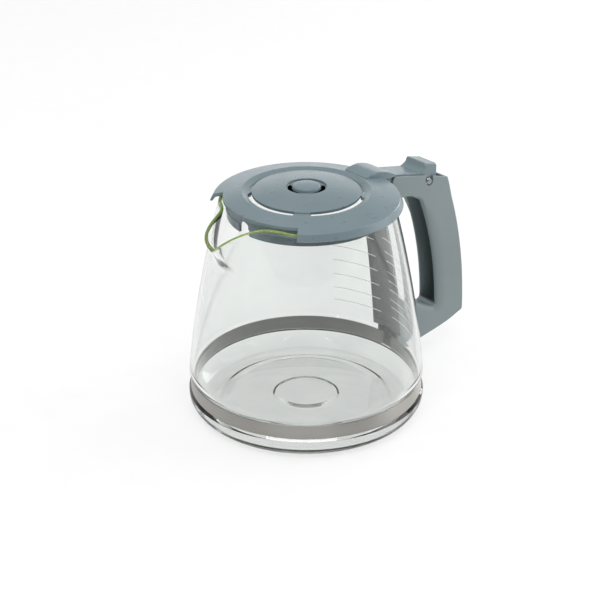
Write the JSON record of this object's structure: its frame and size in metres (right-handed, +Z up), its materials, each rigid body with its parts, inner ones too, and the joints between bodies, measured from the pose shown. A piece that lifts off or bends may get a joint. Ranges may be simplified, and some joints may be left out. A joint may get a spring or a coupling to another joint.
{
  "type": "glass coffee jug",
  "caption": "Glass filter-coffee jug with a pouring spout, a steel clamp band, a hollow plastic D-handle and a hinged lid with a thumb tab.",
  "frame": {"origin": "centre of the glass base's resting plane", "axes": "+X towards the handle, -X towards the pouring spout, +Z up; the lid's hinge pin lies along Y"},
  "size_m": [0.1947, 0.1408, 0.1399],
  "materials": {
    "glass": "clear borosilicate glass, olive tint at the cut rim",
    "steel_band": "stainless, brushed along its length",
    "zinc_steel": "zinc plated",
    "pin_steel": "bright drawn steel",
    "plastic": "blue-grey polypropylene, satin"
  },
  "bodies": {
    "jug": {"glass_jug": "glass", "clamp_band": "steel_band", "clamp_screw": "zinc_steel", "clamp_nut": "zinc_steel", "glass_strip": "plastic", "strip_screw": "zinc_steel", "handle_shell": "plastic"},
    "lid": {"lid_plate": "plastic", "lid_lever": "plastic", "hinge_pin": "pin_steel", "lid_collar": "plastic", "drip_stop_button": "plastic"}
  },
  "joints": [
    {"name": "lid_hinge", "type": "hinge", "parent": "jug", "child": "lid", "pos_m": [0.0896, 0, 0.1205], "axis": [0, 1, 0], "range_deg": [0, 82]}
  ]
}
